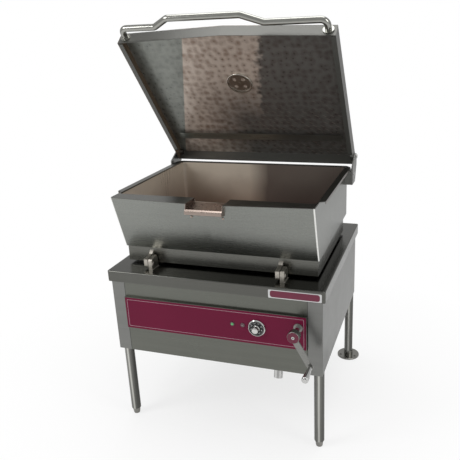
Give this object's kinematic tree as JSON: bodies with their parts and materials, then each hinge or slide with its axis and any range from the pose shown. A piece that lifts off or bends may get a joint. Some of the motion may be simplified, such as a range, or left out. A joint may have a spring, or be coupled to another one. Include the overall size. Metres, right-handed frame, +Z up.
{
  "type": "tilting bratt pan",
  "caption": "Free-standing tilting braising pan on legs, with a hinged lid, pouring lip, heated deep pan and a hand crank that tilts the pan forward by a screw jack",
  "frame": {"origin": "on the floor, at the middle of the width and of the whole depth from the crank grip's tip to the rear feet's back edge", "axes": "+X to the operator's right, +Y from the front to the back, +Z up"},
  "size_m": [0.9579, 1.01, 1.7012],
  "materials": {
    "brushed_steel": "brushed stainless sheet",
    "bright_steel": "polished",
    "swirl_steel": "engine-turned inside, brushed outside",
    "pan_interior_steel": "ground stainless",
    "fascia_film": "printed film, satin",
    "black_plastic": "moulded",
    "white_plastic": "moulded",
    "lens_plastic": "clear coloured lens",
    "rubber": "moulded",
    "bronze": "sintered bronze",
    "gear_steel": "cut steel, oiled",
    "zinc_steel": "zinc plated",
    "aluminium": "rolled plate",
    "mineral_wool": "pressed mat",
    "name_plate": "brushed, bare"
  },
  "bodies": {
    "cabinet": {"back_panel": "brushed_steel", "back_panel_screws": "bright_steel", "bottom_pan": "brushed_steel", "contactor": "black_plastic", "control_fascia": "fascia_film", "control_panel": "brushed_steel", "shaft_bushes": "bronze", "deck": "brushed_steel", "deck_hinge_lugs": "brushed_steel", "flanged_feet": "bright_steel", "front_rails": "brushed_steel", "gear_bracket": "zinc_steel", "high_limit_control": "white_plastic", "jack_bracket": "zinc_steel", "lamp_holders": "bright_steel", "lamp_lenses": "lens_plastic", "legs": "brushed_steel", "name_plate": "name_plate", "pan_rest_pads": "rubber", "supply_inlet_bush": "rubber", "terminal_block": "white_plastic", "thermostat_bezel": "bright_steel", "thermostat_body": "white_plastic", "tilt_hinge_pins": "bright_steel", "side_panels": "brushed_steel", "front_panels": "brushed_steel"},
    "pan": {"cook_plate": "aluminium", "cooking_pan": "pan_interior_steel", "element_clamps": "zinc_steel", "heater_box": "brushed_steel", "heating_elements": "zinc_steel", "insulation_mat": "mineral_wool", "jack_lug": "zinc_steel", "lid_hinge_brackets": "brushed_steel", "lid_hinge_bolts": "bright_steel", "pan_hinge_lugs": "brushed_steel", "pan_jacket": "brushed_steel", "pour_spout": "brushed_steel", "thermostat_bulb": "zinc_steel"},
    "lid": {"lid_shell": "swirl_steel", "lid_handle": "bright_steel", "lid_hinge_bosses": "zinc_steel", "drip_channel": "bright_steel", "vent_ring": "bright_steel"},
    "vent_cover": {"vent_cover": "bright_steel"},
    "crank": {"crank_arm": "bright_steel", "crank_shaft": "bright_steel", "crank_handle_pin": "bright_steel", "crank_hub_screw": "bright_steel"},
    "grip": {"crank_grip": "bright_steel"},
    "cross_shaft": {"cross_shaft": "gear_steel"},
    "jack": {"jack_yoke": "zinc_steel", "jack_tube": "bright_steel"},
    "nut": {"jack_nut_gear": "gear_steel"},
    "screw": {"jack_screw": "gear_steel", "jack_rod_eye": "gear_steel"},
    "thermostat_knob": {"thermostat_dial": "black_plastic", "thermostat_knob": "bright_steel"},
    "left_foot": {"left_front_foot": "bright_steel"},
    "right_foot": {"right_front_foot": "bright_steel"}
  },
  "joints": [
    {"name": "pan_tilt", "type": "hinge", "parent": "cabinet", "child": "pan", "pos_m": [0, -0.27, 0.742], "axis": [1, 0, 0], "range_deg": [0, 75]},
    {"name": "lid_hinge", "type": "hinge", "parent": "pan", "child": "lid", "pos_m": [0, 0.42, 1.066], "axis": [-1, 0, 0], "range_deg": [-50, 15]},
    {"name": "vent_cover_turn", "type": "hinge", "parent": "lid", "child": "vent_cover", "pos_m": [-0.005, 0.14131, 1.42737], "axis": [0, 0.7672, 0.6414], "range_deg": [0, 45]},
    {"name": "crank_turn", "type": "hinge", "parent": "cabinet", "child": "crank", "pos_m": [0.354, -0.38, 0.562], "axis": [0, 1, 0], "range_deg": [0, 4500]},
    {"name": "crank_grip_spin", "type": "hinge", "parent": "crank", "child": "grip", "pos_m": [0.41751, -0.46, 0.44743], "axis": [0, 1, 0], "continuous": true},
    {"name": "cross_shaft_turn", "type": "hinge", "parent": "cabinet", "child": "cross_shaft", "pos_m": [0.3, -0.18, 0.562], "axis": [-1, 0, 0], "range_deg": [0, 4500]},
    {"name": "jack_swing", "type": "hinge", "parent": "cabinet", "child": "jack", "pos_m": [0.248, -0.18, 0.562], "axis": [1, 0, 0], "range_deg": [0, 19.53]},
    {"name": "jack_nut_turn", "type": "hinge", "parent": "jack", "child": "nut", "pos_m": [0.248, -0.18, 0.562], "axis": [0, -0.2711, -0.9625], "range_deg": [0, 4519.54]},
    {"name": "jack_extend", "type": "slide", "parent": "jack", "child": "screw", "axis": [0, 0.2711, 0.9625], "range_m": [0, 0.14887]},
    {"name": "thermostat_turn", "type": "hinge", "parent": "cabinet", "child": "thermostat_knob", "pos_m": [0.189, -0.34, 0.54], "axis": [0, 1, 0], "range_deg": [0, 300]},
    {"name": "left_foot_turn", "type": "hinge", "parent": "cabinet", "child": "left_foot", "pos_m": [-0.424, -0.283, 0.03], "axis": [0, 0, 1], "continuous": true},
    {"name": "right_foot_turn", "type": "hinge", "parent": "cabinet", "child": "right_foot", "pos_m": [0.424, -0.283, 0.03], "axis": [0, 0, 1], "continuous": true}
  ],
  "couplings": [
    {"joint": "crank_turn", "follows": "pan_tilt", "ratio": 60},
    {"joint": "cross_shaft_turn", "follows": "pan_tilt", "ratio": 60},
    {"joint": "jack_swing", "follows": "pan_tilt", "ratio": 0.26044},
    {"joint": "jack_nut_turn", "follows": "pan_tilt", "ratio": 60.26},
    {"joint": "jack_extend", "follows": "pan_tilt", "m_per_rad": 0.11372}
  ]
}
